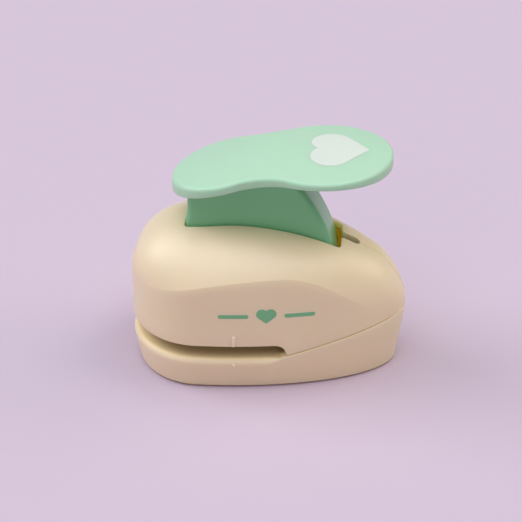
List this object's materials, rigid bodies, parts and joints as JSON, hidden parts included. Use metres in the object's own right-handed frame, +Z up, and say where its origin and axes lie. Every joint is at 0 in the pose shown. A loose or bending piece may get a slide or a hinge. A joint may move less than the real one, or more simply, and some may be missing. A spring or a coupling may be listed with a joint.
{
  "type": "craft punch",
  "caption": "Hand lever punch for paper craft: egg-shaped housing with a paper gap at the front, a crowned thumb lever, and a sprung heart punch over a die.",
  "frame": {"origin": "centre of the underside's bounding box, on the surface that the punch stands on", "axes": "+X to the rear, where the thumb presses; -X is the front with the lever's pivot; +Y to the left for a viewer who looks from the front (-X) towards the rear; +Z up"},
  "size_m": [0.078, 0.045, 0.0662],
  "materials": {
    "housing_plastic": "satin moulded cream plastic",
    "lever_plastic": "smooth mint plastic with a soft gloss",
    "web_plastic": "deeper mint plastic with a satin finish",
    "print_white": "flat pad-printed white",
    "zinc_casting": "fine-grained die-cast zinc",
    "tool_steel": "ground hardened steel",
    "spring_steel": "bright drawn wire",
    "black_screw": "black oxide"
  },
  "bodies": {
    "housing": {"base_shell": "housing_plastic", "bottom_plate": "housing_plastic", "top_cover": "housing_plastic", "die_block": "zinc_casting", "gap_spacer": "tool_steel", "guide_block": "zinc_casting", "dowel_pins": "tool_steel", "frame_screws": "black_screw", "cover_screws": "black_screw", "base_screws": "black_screw", "housing_screws": "black_screw", "lever_axle": "tool_steel", "axle_clips": "black_screw"},
    "lever": {"lever_arm": "web_plastic", "handle_plate": "lever_plastic", "heart_print": "print_white", "handle_screws": "black_screw", "press_pin": "tool_steel"},
    "roller": {"press_roller": "tool_steel"},
    "punch": {"punch_head": "zinc_casting", "heart_punch": "tool_steel", "punch_screws": "black_screw", "return_spring": "spring_steel"}
  },
  "joints": [
    {"name": "lever_press", "type": "hinge", "parent": "housing", "child": "lever", "pos_m": [-0.028, 0, 0.025], "axis": [0, 1, 0], "range_deg": [0, 20], "stiffness_Nm_per_rad": 0.25, "springref_deg": -20.05},
    {"name": "punch_slide", "type": "slide", "parent": "housing", "child": "punch", "axis": [0, 0, -1], "range_m": [0, 0.0074], "deforming": ["return_spring"]},
    {"name": "roller_spin", "type": "hinge", "parent": "lever", "child": "roller", "pos_m": [-0.0082, 0, 0.03332], "axis": [0, 1, 0], "continuous": true}
  ],
  "couplings": [
    {"joint": "punch_slide", "follows": "lever_press", "m_per_rad": 0.02084}
  ]
}
